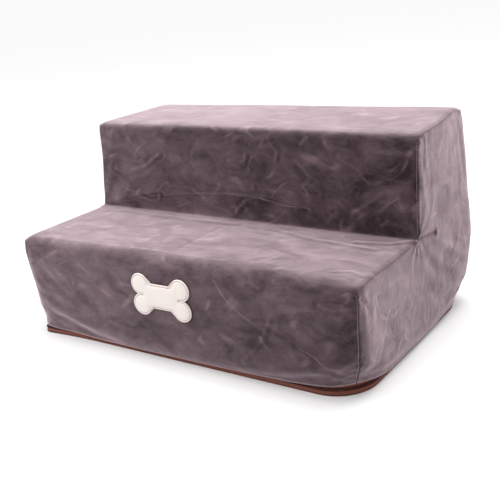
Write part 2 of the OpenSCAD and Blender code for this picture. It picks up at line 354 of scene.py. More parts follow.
profile = np.concatenate(
    [
        np.column_stack([np.full_like(low_z, front_y), low_z])[:-1],
        np.column_stack([low_y, np.full_like(low_y, rise)])[:-1],
        np.column_stack([np.full_like(high_z, riser_y), high_z])[:-1],
        np.column_stack([high_y, np.full_like(high_y, height)])[:-1],
        np.column_stack([np.full_like(high_z, back_y), high_z[::-1]])[:-1],
        np.column_stack([np.full_like(low_z, back_y), low_z[::-1]]),
    ]
)
x_grid = even_steps(-width / 2, width / 2)
strip = np.stack(
    np.broadcast_arrays(x_grid[None, :], profile[:, :1], profile[:, 1:]), axis=2
)


def side_panel(x):
    """The L-shaped panel at x: a grid over the lower block and one over the upper block."""
    parts = []
    for y, z in ((np.concatenate([low_y, high_y[1:]]), low_z), (high_y, high_z)):
        yy, zz = np.meshgrid(y, z)
        parts.append(grid_quads(np.stack([np.full_like(yy, x), yy, zz], axis=2)))
    quads = np.concatenate(parts)
    return quads if x > 0 else quads[:, ::-1]


panels = [grid_quads(strip), side_panel(-width / 2), side_panel(width / 2)]
panel_of_face = np.repeat([0, 1, 2], [len(p) for p in panels])
sharp, faces = joined(np.concatenate(panels))


def hem_height(x, y):
    """How high the hem hangs at a point of the base's outline, read off a line of heights for each
    wall: it sags over the zip along the front and the right side, and lifts at the front corners and
    along the left side, where the slider runs under it."""
    front = np.interp(
        x,
        [-0.3, -0.26, -0.18, -0.08, 0.03, 0.12, 0.19, 0.24, 0.3],
        [0.0145, 0.0105, 0.0065, 0.0055, 0.006, 0.0078, 0.0098, 0.0145, 0.0172],
    )
    right_side = np.interp(
        y,
        [-0.2, -0.165, -0.13, -0.1, 0.06, 0.13, 0.2],
        [0.0172, 0.0155, 0.009, 0.003, 0.002, 0.007, 0.015],
    )
    rear = np.interp(x, [-0.3, -0.2, 0.1, 0.3], [0.0165, 0.014, 0.012, 0.015])
    left_side = 0.0168
    h = np.where(y < front_y + 1e-4, front, np.where(y > back_y - 1e-4, rear, left_side))
    on_right = (x > width / 2 - 1e-4) & (np.abs(y) < back_y - 1e-4)
    return np.where(on_right, right_side, h)


low_part = np.clip((0.06 - sharp[:, 2]) / (0.06 - hem_z), 0, 1)
form = sharp.copy()
form[:, 2] += (hem_height(sharp[:, 0], sharp[:, 1]) - hem_z) * low_part

# the front right seam sits a little round the corner, on the side: the cloth is slid along the wall
# by a bell of its distance from the corner
on_front_wall = np.abs(sharp[:, 1] - front_y) < 1e-6
on_right_wall = (np.abs(sharp[:, 0] - width / 2) < 1e-6) & (sharp[:, 2] < rise - 1e-6)
past = np.where(on_front_wall, sharp[:, 0] - width / 2, sharp[:, 1] - front_y)
slide = np.interp(sharp[:, 2], [0.02, 0.08, 0.15, rise], [0.0105, 0.008, 0.003, 0.0])
past = past + slide * np.exp(-((past / 0.07) ** 2))
form[:, 0] = np.where(on_front_wall, width / 2 + np.minimum(past, 0), form[:, 0])
form[:, 1] = np.where(on_front_wall | on_right_wall, front_y + np.maximum(past, 0), form[:, 1])
form[:, 0] = np.where(on_right_wall, width / 2 + np.minimum(past, 0), form[:, 0])
form = soft_form(form)
at_hem = sharp[:, 2] < hem_z + 1e-6
near_crease = np.hypot(sharp[:, 1] - riser_y, sharp[:, 2] - rise)
ease = np.where(at_hem, 0, np.clip(near_crease / 0.02, 0.1, 0.6))
form = relax(form, faces, 4, ease)

# The cloth is cut a little larger than the foam, so it is let fall on the foam inside, where its
# spare length gathers into soft folds. The hem is held, since it is sewn to the zip, and the inner
# corner is half held. Six tenths of each point's fall is kept, at most 8 mm of it counting.
steps, foam_inset, share_kept, furthest = 22, 0.0032, 0.6, 0.008
cloth_mesh = bpy.data.meshes.new("loose_cover")
cloth_mesh.from_pydata(form.tolist(), [], faces.tolist())
cloth = bpy.data.objects.new("loose_cover", cloth_mesh)
core_mesh = bpy.data.meshes.new("foam_inside")
core_form = form - point_normals(form, faces) * foam_inset
core_mesh.from_pydata(core_form.tolist(), [], faces.tolist())
core = bpy.data.objects.new("foam_inside", core_mesh)
for thing in (cloth, core):
    bpy.context.collection.objects.link(thing)
sewn = cloth.vertex_groups.new(name="sewn")
sewn.add(np.flatnonzero(at_hem).tolist(), 1.0, "REPLACE")
sewn.add(np.flatnonzero(near_crease < 0.001).tolist(), 0.5, "REPLACE")
core.modifiers.new("collision", "COLLISION")
core.collision.thickness_outer = 0.001
core.collision.cloth_friction = 15
drape = cloth.modifiers.new("drape", "CLOTH")
drape.settings.quality = 5
drape.settings.mass = 0.3
drape.settings.tension_stiffness = drape.settings.compression_stiffness = 16
drape.settings.shear_stiffness = 5
drape.settings.bending_stiffness = 0.5
drape.settings.shrink_min = drape.settings.shrink_max = -0.005
drape.settings.effector_weights.gravity = 0.3
drape.settings.vertex_group_mass = "sewn"
drape.collision_settings.distance_min = 0.0015
drape.collision_settings.use_self_collision = False
drape.point_cache.frame_start, drape.point_cache.frame_end = 1, steps
for moment in range(1, steps + 1):
    bpy.context.scene.frame_set(moment)
fallen = cloth.evaluated_get(bpy.context.evaluated_depsgraph_get()).to_mesh()
settled = np.zeros(len(form) * 3)
fallen.vertices.foreach_get("co", settled)
move = settled.reshape(-1, 3) - form
far = np.linalg.norm(move, axis=1, keepdims=True)
form = form + share_kept * move * np.minimum(1, furthest / np.maximum(far, 1e-9))
bpy.context.scene.frame_set(1)
bpy.data.objects.remove(cloth)
bpy.data.objects.remove(core)

coarse_mesh = bpy.data.meshes.new("cover")
coarse_mesh.from_pydata(form.tolist(), [], faces.tolist())
coarse_mesh.polygons.foreach_set("material_index", panel_of_face)
coarse = bpy.data.objects.new("cover", coarse_mesh)
bpy.context.collection.objects.link(coarse)
finer = coarse.modifiers.new("finer", "SUBSURF")
finer.levels = finer.render_levels = 1
fine_mesh = bpy.data.meshes.new_from_object(
    coarse.evaluated_get(bpy.context.evaluated_depsgraph_get())
)
bpy.data.objects.remove(coarse)
coarse_faces, panel_of_coarse = faces, panel_of_face
points = np.zeros(len(fine_mesh.vertices) * 3)
fine_mesh.vertices.foreach_get("co", points)
points = points.reshape(-1, 3)
faces = np.zeros(len(fine_mesh.loops), np.int32)
fine_mesh.loops.foreach_get("vertex_index", faces)
faces = faces.reshape(-1, 4)
panel_of_face = np.zeros(len(faces), np.int32)
fine_mesh.polygons.foreach_get("material_index", panel_of_face)

in_strip = np.zeros(len(points), bool)
in_strip[faces[panel_of_face == 0].ravel()] = True
in_side = np.zeros(len(points), bool)
in_side[faces[panel_of_face > 0].ravel()] = True
on_seam = in_strip & in_side
beside_seam = np.zeros(len(points), bool)
beside_seam[faces[on_seam[faces].any(axis=1)].ravel()] = True
beside_seam &= ~on_seam
next_row = np.zeros(len(points), bool)
next_row[faces[beside_seam[faces].any(axis=1)].ravel()] = True
next_row &= ~on_seam & ~beside_seam

outwards = point_normals(points, faces)
x, y, z = points.T


def ridge(distance, half_width):
    """1 on the line and fading to 0 over about twice the half width."""
    return np.exp(-((distance / half_width) ** 2))


def off_path(a, b, path):
    """How far the points (a, b) are from a path of straight pieces."""
    q = np.column_stack([a, b])[:, None]
    start, run = np.array(path[:-1]), np.diff(path, axis=0)
    t = np.clip(((q - start) * run).sum(2) / (run**2).sum(1), 0, 1)
    return np.linalg.norm(q - start - t[..., None] * run, axis=2).min(axis=1)


raise_by = np.zeros(len(points))
on_riser = in_strip & (y < 0.012) & (z > rise + 0.001) & (z < height - 0.012)
on_front = in_strip & (y < -0.18) & (z < rise - 0.012)
on_tread = in_strip & (y < -0.005) & (z > rise - 0.012) & (z < rise + 0.01)

# the long tuck along the foot of the upper riser, and the small pinches near it
tuck_x = [-0.3, -0.26, -0.215, -0.17, -0.1, -0.03, 0.03, 0.08, 0.3]
tuck_z = [0.168, 0.178, 0.188, 0.197, 0.205, 0.21, 0.208, 0.2, 0.19]
below = np.interp(x, tuck_x, tuck_z) - z
fade = np.interp(x, [-0.3, -0.25, 0.0, 0.1, 0.2], [0.35, 1, 1, 0.4, 0])
sunk = np.clip(below / 0.006, 0, 1) * np.clip((z - rise) / 0.008, 0, 1)
raise_by[on_riser] += (
    fade * (-0.0042 * sunk + 0.0014 * ridge(below + 0.004, 0.006))
)[on_riser]

# creases: the cloth they are on, 0 for (x, z) or 1 for (x, y), height, half width and path
creases = [
    (on_riser, 0, 0.0014, 0.0028, [(-0.267, 0.236), (-0.235, 0.232), (-0.2, 0.241), (-0.163, 0.265)]),
    (on_riser, 0, 0.0012, 0.0025, [(-0.222, 0.196), (-0.2, 0.184), (-0.18, 0.182), (-0.172, 0.196)]),
    (on_riser, 0, 0.0014, 0.003, [(-0.016, 0.176), (0.004, 0.196), (0.03, 0.207), (0.05, 0.206)]),
    (on_riser, 0, 0.001, 0.0028, [(-0.02, 0.262), (0.0, 0.256), (0.012, 0.262), (0.014, 0.272)]),
    (on_riser, 0, -0.0014, 0.003, [(0.03, 0.222), (0.08, 0.224), (0.14, 0.22)]),
    (on_riser, 0, 0.001, 0.003, [(0.04, 0.205), (0.09, 0.198), (0.16, 0.196)]),
    (on_riser, 0, -0.0012, 0.003, [(0.01, 0.19), (0.06, 0.19), (0.12, 0.194)]),
    (on_riser, 0, 0.0012, 0.003, [(0.1, 0.192), (0.125, 0.186), (0.15, 0.188)]),
    (on_riser, 0, 0.0015, 0.0035, [(0.285, 0.286), (0.24, 0.284), (0.2, 0.292), (0.16, 0.3)]),
    (on_riser, 0, 0.0013, 0.003, [(0.285, 0.268), (0.25, 0.258), (0.215, 0.262), (0.18, 0.28)]),
    (on_riser, 0, 0.0011, 0.003, [(0.25, 0.242), (0.215, 0.236), (0.19, 0.246)]),
    (on_riser, 0, 0.0013, 0.003, [(0.2, 0.195), (0.225, 0.21), (0.245, 0.225)]),
    (on_riser, 0, 0.001, 0.003, [(0.06, 0.3), (0.075, 0.283), (0.07, 0.268)]),
    (on_front, 0, 0.0008, 0.004, [(0.05, 0.05), (0.12, 0.075), (0.2, 0.08)]),
    (on_front, 0, 0.0008, 0.003, [(0.12, 0.03), (0.15, 0.06), (0.17, 0.1)]),
    (on_front, 0, 0.0006, 0.003, [(-0.13, 0.05), (-0.08, 0.04), (-0.03, 0.055)]),
    (on_front, 0, 0.001, 0.003, [(0.292, 0.142), (0.27, 0.136), (0.25, 0.138)]),
    (on_tread, 1, 0.0006, 0.005, [(-0.25, -0.02), (-0.1, -0.03), (0.0, -0.022)]),
    (on_tread, 1, 0.0006, 0.004, [(0.08, -0.03), (0.15, -0.05), (0.26, -0.06)]),
    (on_tread, 1, 0.0007, 0.004, [(0.298, -0.004), (0.27, -0.03), (0.22, -0.04)]),
    (on_tread, 1, 0.0005, 0.003, [(0.29, -0.16), (0.27, -0.15), (0.245, -0.16)]),
]
for cloth_part, plane, tall, half, path in creases:
    m = np.flatnonzero(cloth_part)
    d = off_path(x[m], (z, y)[plane][m], path)
    raise_by[m] += tall * (ridge(d, half) - 0.6 * ridge(d - 2.2 * half, half))

# the cloth puckers in a star where two seams meet in the inner corner, with one deep pleat behind it
for side in (-1, 1):
    m = np.flatnonzero(in_side & (x * side > 0.2))
    ry, rz = y[m] - riser_y, z[m] - rise
    r, turn = np.hypot(ry, rz), np.arctan2(rz, ry)
    raise_by[m] += -0.0022 * np.exp(-r / 0.022) * (0.5 + 0.5 * np.cos(9 * turn + side))
    pleat = off_path(y[m], z[m], [(0.002, 0.166), (0.03, 0.163), (0.055, 0.158)])
    raise_by[m] += -0.0026 * ridge(pleat, 0.0032) + 0.001 * ridge(pleat - 0.008, 0.004)
    m = np.flatnonzero(in_side & (x * side > 0.2) & (y < 0))
    corner = off_path(y[m], z[m], [(-0.19, 0.15), (-0.172, 0.132)])
    raise_by[m] += -0.0016 * ridge(corner, 0.003)

# the seam pulls the cloth in where it runs upright, and the turned-in edges beside it stand a
# little proud; along the treads it lies on them as a low ridge
upright = np.clip((0.45 - outwards[:, 2]) / 0.25, 0, 1)
raise_by[on_seam] += (0.0011 - 0.002 * upright)[on_seam]
for row, on_the_side in ((beside_seam, 0.0001), (next_row, 0.0002)):
    raise_by[row] += (np.where(in_strip, 0.0006, on_the_side) * upright)[row]
points = points + outwards * raise_by[:, None]

# the cloth lies flat behind the bone
bone_middle = np.array([-0.019, 0.1065])
near_bone = np.maximum(
    np.abs(points[:, 0] - bone_middle[0]) / 0.062, np.abs(points[:, 2] - bone_middle[1]) / 0.041
)
press = np.clip((1.35 - near_bone) / 0.35, 0, 1) * (points[:, 1] < -0.15)
flat_y = np.maximum(points[:, 1], front_y + 0.0002)
points[:, 1] += (flat_y - points[:, 1]) * press
points[:, 2] = np.maximum(points[:, 2], 0.0004)

# the inside of the cloth is a coarser grid, through every second point of the outside, and the two
# are joined along each piece's edge, where a middle point of the outside has none across from it
count, corners = len(points), len(form)
both = np.concatenate([points, points - velvet_t * point_normals(points, faces)])
cover_pieces = []
for number, node in enumerate(("cover_strip", "cover_side_left", "cover_side_right")):
    outer = faces[panel_of_face == number]
    lining = coarse_faces[panel_of_coarse == number][:, ::-1] + count
    ways = np.stack([outer, np.roll(outer, -1, axis=1)], axis=2).reshape(-1, 2).astype(np.int64)
    ways = ways[~np.isin(ways @ [2 * count, 1], ways @ [1, 2 * count])]
    to_middle, from_middle = ways[ways[:, 1] >= corners], ways[ways[:, 0] >= corners]
    first, middle = to_middle[np.argsort(to_middle[:, 1])].T
    last = from_middle[np.argsort(from_middle[:, 0])][:, 1]
    rim = np.column_stack([last, middle, first, first + count, last + count])
    used = np.unique(np.concatenate([outer.ravel(), lining.ravel()]))
    own = [np.searchsorted(used, part).tolist() for part in (outer, lining, rim)]
    piece = new_piece(node + "_velvet", both[used], own[0] + own[1] + own[2])
    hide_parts(node)
    cover_pieces.append(piece)

# Crushed velvet: a short polyester pile pressed flat every way, so it shows cloudy light and dark
# patches and pale scribbles where the pile is bent. Its colour is also painted paler where it is seen
# edge on, a painted sheen over the shader's own sheen.
# The two cuts differ: how their clouds stretch, how strong clouds and scribbles are, and along which
# axis, from where to where, and from what to what a painted ramp of light and shade changes them:
# darker towards the right of the strip, and on the sides lighter near the top and darker towards the
# bottom.
for name, members, stretch, cloudy, scribble, painted_shade_axis, painted_shade_span, painted_shade_depth in (
    ("crushed_velvet_strip", cover_pieces[:1], (0.5, 1.0, 0.8), 0.68, 0.4, 0, (-0.2, 0.3), (0.0, 0.15)),
    ("crushed_velvet_sides", cover_pieces[1:], (1.0, 0.85, 0.8), 0.9, 0.5, 2, (0.14, 0.02), (-0.08, 0.1)),
):
    material, shader, tree = new_material(name)
    where = add_node(tree, "ShaderNodeTexCoord").outputs["Object"]
    along = add_node(tree, "ShaderNodeMapping", Vector=where, Scale=stretch)
    # clouds of pile about 30 mm across in large ones of 110 mm, mottled at 9 mm; the pile itself,
    # 0.3 mm, is drawn at 1.4 mm so that it shows
    clouds = add_node(
        tree, "ShaderNodeTexNoise",
        Vector=along.outputs[0], Scale=32.0, Detail=7.0, Roughness=0.66, Distortion=0.7,
    )
    large = add_node(tree, "ShaderNodeTexNoise", Vector=where, Scale=9.0, Detail=2.0)
    pile = add_node(
        tree, "ShaderNodeTexNoise", Vector=along.outputs[0], Scale=700.0, Detail=3.0, Roughness=0.7
    )
    light = add_node(
        tree, "ShaderNodeMapRange", n0=clouds.outputs[0], n1=0.32, n2=0.7, n3=0.0, n4=cloudy
    )
    mottle = add_node(
        tree, "ShaderNodeTexNoise", Vector=along.outputs[0], Scale=110.0, Detail=4.0, Roughness=0.6
    )
    for share, source in ((0.35, large), (0.44, mottle), (0.2, pile)):
        light = add_node(
            tree, "ShaderNodeMath", {"operation": "MULTIPLY_ADD"},
            n0=source.outputs[0], n1=share, n2=light.outputs[0],
        )
    light = add_node(
        tree, "ShaderNodeMath", {"operation": "SUBTRACT"}, n0=light.outputs[0], n1=0.11 + cloudy / 2
    )
    # painted shade: a ramp paints the velvet darker towards the right of the strip, and on the sides
    # lighter near the top and darker towards the bottom
    place = add_node(tree, "ShaderNodeSeparateXYZ", Vector=where)
    painted_shade_ramp = add_node(
        tree, "ShaderNodeMapRange", {"interpolation_type": "SMOOTHSTEP"},
        n0=place.outputs[painted_shade_axis], n1=painted_shade_span[0], n2=painted_shade_span[1], n3=painted_shade_depth[0], n4=painted_shade_depth[1],
    )
    light = add_node(
        tree, "ShaderNodeMath", {"operation": "SUBTRACT"}, n0=light.outputs[0], n1=painted_shade_ramp.outputs[0]
    )
    # scribbles lie where a slanted noise crosses its middle, cut into short pieces by another
    for turn_by, size, cut in ((0.5, 20.0, 42.0), (-0.6, 28.0, 56.0)):
        slant = add_node(
            tree, "ShaderNodeMapping", {"vector_type": "TEXTURE"},
            Vector=where, Rotation=(turn_by, turn_by, 0.2), Location=(size, cut, 0.0),
            Scale=(2.6, 2.2, 0.9),
        )
        bend = add_node(
            tree, "ShaderNodeTexNoise",
            Vector=slant.outputs[0], Scale=size, Detail=1.0, Distortion=0.1,
        )
        stroke = add_node(
            tree, "ShaderNodeMath", {"operation": "SUBTRACT"}, n0=bend.outputs[0], n1=0.5
        )
        stroke = add_node(
            tree, "ShaderNodeMath", {"operation": "ABSOLUTE"}, n0=stroke.outputs[0]
        )
        stroke = add_node(
            tree, "ShaderNodeMapRange", {"interpolation_type": "SMOOTHSTEP"},
            n0=stroke.outputs[0], n1=0.0, n2=0.04, n3=scribble, n4=0.0,
        )
        piece_of = add_node(
            tree, "ShaderNodeTexNoise", Vector=slant.outputs[0], Scale=cut, Detail=1.0
        )
        piece_of = add_node(
            tree, "ShaderNodeMapRange", {"interpolation_type": "SMOOTHSTEP"},
            n0=piece_of.outputs[0], n1=0.54, n2=0.7, n3=0.0, n4=1.0,
        )
        light = add_node(
            tree, "ShaderNodeMath", {"operation": "MULTIPLY_ADD", "use_clamp": True},
            n0=stroke.outputs[0], n1=piece_of.outputs[0], n2=light.outputs[0],
        )
    flat_on = add_node(
        tree, "ShaderNodeMix", {"data_type": "RGBA"},
        n0=light.outputs[0], n6=hex_colour("#291b21"), n7=hex_colour("#78606a"),
    )
    # painted sheen: the colour is painted paler where the velvet is seen edge on, mixed in by Layer
    # Weight's facing, over the shader's own sheen
    painted_sheen_colour = add_node(
        tree, "ShaderNodeMix", {"data_type": "RGBA"},
        n0=light.outputs[0], n6=hex_colour("#a8919a"), n7=hex_colour("#e6d2d8"),
    )
    painted_sheen_share = add_node(tree, "ShaderNodeLayerWeight", Blend=0.5)
    painted_sheen_share = add_node(
        tree, "ShaderNodeMath", {"operation": "POWER"}, n0=painted_sheen_share.outputs["Facing"], n1=2.1
    )
    colour = add_node(
        tree, "ShaderNodeMix", {"data_type": "RGBA"},
        n0=painted_sheen_share.outputs[0], n6=flat_on.outputs[2], n7=painted_sheen_colour.outputs[2],
    )
    tree.links.new(colour.outputs[2], shader.inputs["Base Color"])
    rough_pile = add_node(
        tree, "ShaderNodeBump", Height=pile.outputs[0], Strength=0.6, Distance=0.0006
    )
    bent_pile = add_node(
        tree, "ShaderNodeBump", Height=light.outputs[0], Strength=0.5, Distance=0.0016,
        Normal=rough_pile.outputs[0],
    )
    tree.links.new(bent_pile.outputs[0], shader.inputs["Normal"])
    shader.inputs["Roughness"].default_value = 0.8
    shader.inputs["Specular IOR Level"].default_value = 0.25
    shader.inputs["Sheen Weight"].default_value = 0.9
    shader.inputs["Sheen Roughness"].default_value = 0.35
    shader.inputs["Sheen Tint"].default_value = hex_colour("#f6dfe6")
    for piece in members:
        piece.data.materials.append(material)

# ---- side seams ----
# A lockstitch in dark polyester thread, 5 mm to a stitch, runs up each front corner, over both
# steps and down the back. It stands proud in the upright seams and sinks into the pile of the treads.
stitch_l, stitch_pitch, thread_t = 0.003, 0.005, 0.0014
sunk, proud = -0.0008, 0.0009


def tube_faces(rings, sides, count, turn=1):
    """The faces of that many like tubes, each a grid of sides by rings whose sides close: the quads
    along it and a cap at each end. turn is -1 where the tubes are mirrored."""
    i, j = np.meshgrid(np.arange(sides), np.arange(rings - 1), indexing="ij")
    below, above = i * rings + j, (i + 1) % sides * rings + j
    quads = np.stack([below, below + 1, above + 1, above], axis=2).reshape(-1, 4)
    ring = np.arange(sides) * rings
    faces = []
    for one in (quads, np.stack([ring, ring[::-1] + rings - 1])):
        every = one[None] + np.arange(count)[:, None, None] * rings * sides
        faces += every.reshape(-1, one.shape[1])[:, ::turn].tolist()
    return faces


def stitches(name, path, up, length, pitch, thick, lift):
    """Capsules along a path: each is a tube whose radius rounds off to its ends, bent down at them,
    laid along the path's direction, with up as the way out of the cloth, and raised by lift."""
    run = np.concatenate([[0], np.cumsum(np.linalg.norm(np.diff(path, axis=0), axis=1))])
    at = np.arange(pitch / 2, run[-1], pitch)
    centre = np.column_stack([np.interp(at, run, c) for c in path.T])
    ahead = np.column_stack([np.interp(at + pitch * 0.3, run, c) for c in path.T]) - centre
    out = np.column_stack([np.interp(at, run, c) for c in up.T])
    ahead /= np.linalg.norm(ahead, axis=1, keepdims=True)
    out -= ahead * (out * ahead).sum(1, keepdims=True)
    out /= np.linalg.norm(out, axis=1, keepdims=True)
    side = np.cross(ahead, out)
    centre += out * np.interp(at, run, np.broadcast_to(lift, run.shape))[:, None]
    u, v = (g.ravel() for g in np.meshgrid(np.linspace(0, 1, 7), np.linspace(0, 2 * np.pi, 7)[:-1]))
    r = thick / 2 * np.sqrt(np.maximum(1 - (2 * u - 1) ** 4, 0.02))
    local = np.column_stack(
        [(u - 0.5) * length, np.cos(v) * r, np.sin(v) * r - thick * (u - 0.5) ** 2]
    )
    p = centre[:, None] + local @ np.stack([ahead, side, out], axis=1)
    return new_piece(name, p.reshape(-1, 3), tube_faces(7, 6, len(at)))


def thread_material(name, dark, pale):
    """Twisted polyester thread with a dull shine, its plies about 0.7 mm long."""
    material, shader, tree = new_material(name)
    where = add_node(tree, "ShaderNodeTexCoord").outputs["Object"]
    twist = add_node(tree, "ShaderNodeTexNoise", Vector=where, Scale=1500.0)
    shade = add_node(
        tree, "ShaderNodeMix", {"data_type": "RGBA"},
        n0=twist.outputs[0], n6=hex_colour(dark), n7=hex_colour(pale),
    )
    tree.links.new(shade.outputs[2], shader.inputs["Base Color"])
    shader.inputs["Roughness"].default_value = 0.6
    return material


dark_thread = thread_material("polyester_thread_dark", "#1d1519", "#3a2e34")
for side, label in ((-1, "left"), (1, "right")):
    column = np.column_stack([np.full(len(profile), side * width / 2), profile])
    start = [np.abs(sharp - place).sum(axis=1).argmin() for place in column]
    seam = np.flatnonzero(on_seam & (points[:, 0] * side > 0))
    near = np.linalg.norm(form[start][:, None] - points[seam][None], axis=2).argmin(axis=1)
    lift = np.where(np.isin(profile[:, 1], (rise, height)), sunk, proud)
    piece = stitches(
        "seam_stitches_" + label, points[seam][near], outwards[seam][near],
        stitch_l, stitch_pitch, thread_t, lift,
    )
    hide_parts("seam_thread_" + label)
    piece.data.materials.append(dark_thread)

# ---- base panel and rear band ----
# The underside is brown coated polyester with rows of raised grip dots, and a band of the same
# brown cloth closes the back where the zip does not run; the band is drawn in the zip tape's
# herringbone material.
base_inset, corner_r, tight_r = 0.008, 0.06, 0.018
base_x, base_y = width / 2 - base_inset, depth / 2 - base_inset
base_t, tape_t, tape_top = 0.002, 0.0008, 0.022


def chain_line(step, stop_y, left_r=tight_r):
    """Places along the zip, from the rear of the left side round the front to the rear of the right
    side, with the outward direction at each: two straight sides, two quarter circles and the front."""
    reach = [stop_y + base_y - r + r * np.pi / 2 + base_x - r for r in (left_r, corner_r)]
    s = even_steps(0, sum(reach), step)
    left = s < reach[0]
    t, side = np.where(left, s, sum(reach) - s), np.where(left, -1.0, 1.0)
    r = np.where(left, left_r, corner_r)
    straight = stop_y + base_y - r
    turn = np.clip((t - straight) / r, 0, np.pi / 2)
    x = base_x - r + r * np.cos(turn) - np.clip(t - straight - r * np.pi / 2, 0, None)
    y = r - base_y - r * np.sin(turn) + np.clip(straight - t, 0, None)
    out = np.column_stack([side * np.cos(turn), -np.sin(turn), np.zeros_like(t)])
    return np.column_stack([side * x, y, np.zeros_like(t)]), out


# Coated brown polyester: a twill of about 1.4 mm, dull, with rubber dots 9 mm apart.
material, shader, tree = new_material("woven_polyester_base")
where = add_node(tree, "ShaderNodeTexCoord").outputs["Object"]
warp = add_node(
    tree, "ShaderNodeTexWave", {"bands_direction": "DIAGONAL"},
    Vector=where, Scale=320.0, Distortion=0.6,
)
dots = add_node(
    tree, "ShaderNodeTexVoronoi", {"voronoi_dimensions": "2D"},
    Vector=where, Scale=1 / 0.009, Randomness=0.0,
)
dot = add_node(
    tree, "ShaderNodeMapRange", {"interpolation_type": "SMOOTHSTEP"},
    n0=dots.outputs["Distance"], n1=0.2, n2=0.26, n3=1.0, n4=0.0,
)
weave = add_node(
    tree, "ShaderNodeMix", {"data_type": "RGBA"},
    n0=warp.outputs[0], n6=hex_colour("#5a2e25"), n7=hex_colour("#7d4538"),
)
shade = add_node(
    tree, "ShaderNodeMix", {"data_type": "RGBA"},
    n0=dot.outputs[0], n6=weave.outputs[2], n7=hex_colour("#3a1b15"),
)
tree.links.new(shade.outputs[2], shader.inputs["Base Color"])
height_of = add_node(
    tree, "ShaderNodeMath", {"operation": "MULTIPLY_ADD"},
    n0=warp.outputs[0], n1=0.25, n2=dot.outputs[0],
)
bumps = add_node(tree, "ShaderNodeBump", Height=height_of.outputs[0], Distance=0.0006)
tree.links.new(bumps.outputs[0], shader.inputs["Normal"])
shader.inputs["Roughness"].default_value = 0.75


a, b = np.meshgrid(even_steps(-base_x, base_x, 0.006), even_steps(-base_y, base_y, 0.006))
shape = a.shape
a, b = a.ravel(), b.ravel()
for sx in (-1, 1):
    for sy in (-1, 1):
        r = tight_r if sx < 0 and sy < 0 else corner_r
        a, b = round_corner(a, b, sx * (base_x - r), sy * (base_y - r), sx, sy, r)
plate = foot_lean(np.column_stack([a, b, np.zeros(len(a))])).reshape(*shape, 3)
p, f = joined(grid_quads(plate)[:, ::-1])
base = new_piece("base_cloth", p, f)
thick = base.modifiers.new("thickness", "SOLIDIFY")
thick.thickness, thick.offset = base_t, -1.0
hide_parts("base_panel")
base.data.materials.append(material)

# Brown polyester tape: a herringbone weave about 2.5 mm wide, slightly shiny.
material, shader, tree = new_material("herringbone_tape")
where = add_node(tree, "ShaderNodeTexCoord").outputs["Object"]
place = add_node(tree, "ShaderNodeSeparateXYZ", Vector=where)
run = add_node(
    tree, "ShaderNodeMath", {"operation": "ADD"}, n0=place.outputs[0], n1=place.outputs[1]
)
chevron = add_node(
    tree, "ShaderNodeMath", {"operation": "PINGPONG"}, n0=place.outputs[2], n1=0.00125
)
run = add_node(
    tree, "ShaderNodeMath", {"operation": "ADD"}, n0=run.outputs[0], n1=chevron.outputs[0]
)
thread = add_node(
    tree, "ShaderNodeMath", {"operation": "PINGPONG"}, n0=run.outputs[0], n1=0.0004
)
thread = add_node(
    tree, "ShaderNodeMath", {"operation": "MULTIPLY"}, n0=thread.outputs[0], n1=2500.0
)
shade = add_node(
    tree, "ShaderNodeMix", {"data_type": "RGBA"},
    n0=thread.outputs[0], n6=hex_colour("#6d3428"), n7=hex_colour("#a05a4b"),
)
tree.links.new(shade.outputs[2], shader.inputs["Base Color"])
bumps = add_node(tree, "ShaderNodeBump", Height=thread.outputs[0], Distance=0.0002)
tree.links.new(bumps.outputs[0], shader.inputs["Normal"])
shader.inputs["Roughness"].default_value = 0.55
tape_end_y = base_y - corner_r - 0.002
zip_middle, tape_gap = 0.0103, 0.0006
front_line = chain_line(0.003, tape_end_y)[0]
rear_line = chain_line(0.003, -tape_end_y, corner_r)[0][::-1] * [1, -1, 1]
for name, node, slot, line, low, high in (
    ("zip_tape_weave_lower", "zip_tape_lower", "zip_tape", front_line, base_t, zip_middle - tape_gap),
    ("zip_tape_weave_upper", "zip_tape_upper", "zip_tape", front_line, zip_middle + tape_gap, tape_top),
    ("rear_band_cloth", "rear_band", "base_fabric", rear_line, base_t, tape_top),
):
    levels = np.linspace(low, high, 5)
    band = line[None] + levels[:, None, None] * np.array([0, 0, 1.0])
    p, f = joined(grid_quads(foot_lean(band.reshape(-1, 3)).reshape(band.shape)))
    piece = new_piece(name, p, f)
    thick = piece.modifiers.new("thickness", "SOLIDIFY")
    thick.thickness, thick.offset = tape_t, -1.0
    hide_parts(node)
    piece.data.materials.append(material)

# ---- zip coils ----
# A size 5 coil zip: nylon monofilament wound into loops and sewn to each tape's edge. Each loop
# is drawn as a rounded bar that arches 1.8 mm out of the tape.
coil_w, coil_t, loop_pitch, monofilament_r = 0.0024, 0.0018, 0.0015, 0.00042
centre, out = chain_line(loop_pitch, tape_end_y - 0.006)
ahead = np.column_stack([-out[:, 1], out[:, 0], np.zeros(len(out))])
u, v = np.meshgrid(np.linspace(0, 1, 7), np.linspace(0, 2 * np.pi, 6)[:-1])
u, v = u.ravel(), v.ravel()
r = monofilament_r
arch = np.pi * u
along_loop = r * np.cos(v)
up_loop = coil_w / 2 - (coil_w / 2 - r + r * np.sin(v)) * np.cos(arch)
out_loop = 0.0001 + (coil_t - 0.0001 - r + r * np.sin(v)) * np.sin(arch)

